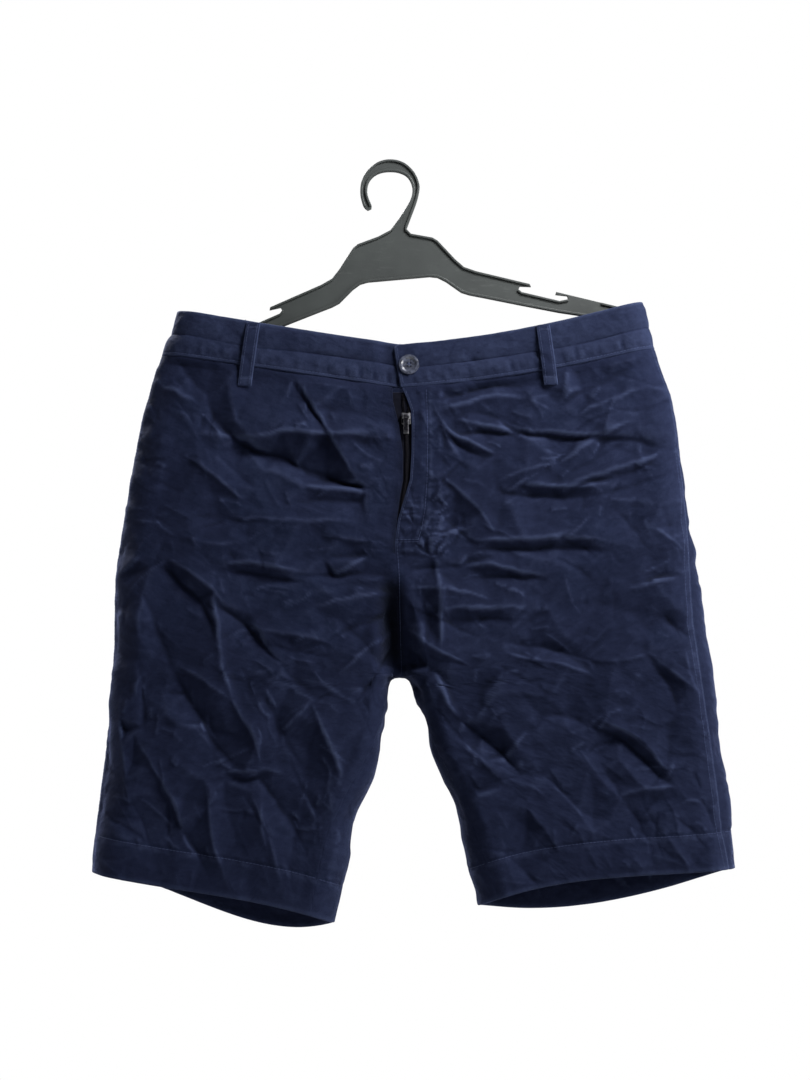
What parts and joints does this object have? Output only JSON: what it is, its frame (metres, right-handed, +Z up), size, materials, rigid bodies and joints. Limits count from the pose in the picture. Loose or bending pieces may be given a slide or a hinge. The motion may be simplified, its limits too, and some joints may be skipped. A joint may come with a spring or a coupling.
{
  "type": "bermuda shorts on a hanger",
  "caption": "Knee-length twill shorts with waistband, belt loops, button and zip fly, hanging by the waistband on a flat plastic hanger.",
  "frame": {"origin": "inside top of the hanger's hook, where it hangs on a pin or rail", "axes": "+Z up, the garment's front faces -Y, +X to the viewer's right"},
  "size_m": [0.5639, 0.0675, 0.6885],
  "materials": {
    "twill": "matte cotton twill, creased",
    "zip_tape": "woven tape with metal teeth",
    "zip_metal": "worn nickel",
    "button": "polished resin",
    "hanger": "moulded, fine satin"
  },
  "bodies": {
    "shorts": {"front_right": "twill", "front_left": "twill", "back_right": "twill", "back_left": "twill", "waistband_right": "twill", "waistband_left": "twill", "belt_loop_front_right": "twill", "belt_loop_front_left": "twill", "belt_loop_back_right": "twill", "belt_loop_back_left": "twill", "belt_loop_back_centre": "twill", "fly_shield": "twill", "zip_tape": "zip_tape", "zip_slider": "zip_metal", "button": "button", "hanger": "hanger"},
    "pull_tab": {"zip_pull": "zip_metal"}
  },
  "joints": [
    {"name": "pull_tab_hinge", "type": "hinge", "parent": "shorts", "child": "pull_tab", "pos_m": [0.0158, -0.02312, -0.2286], "axis": [-1, 0, 0], "range_deg": [0, 110]}
  ]
}
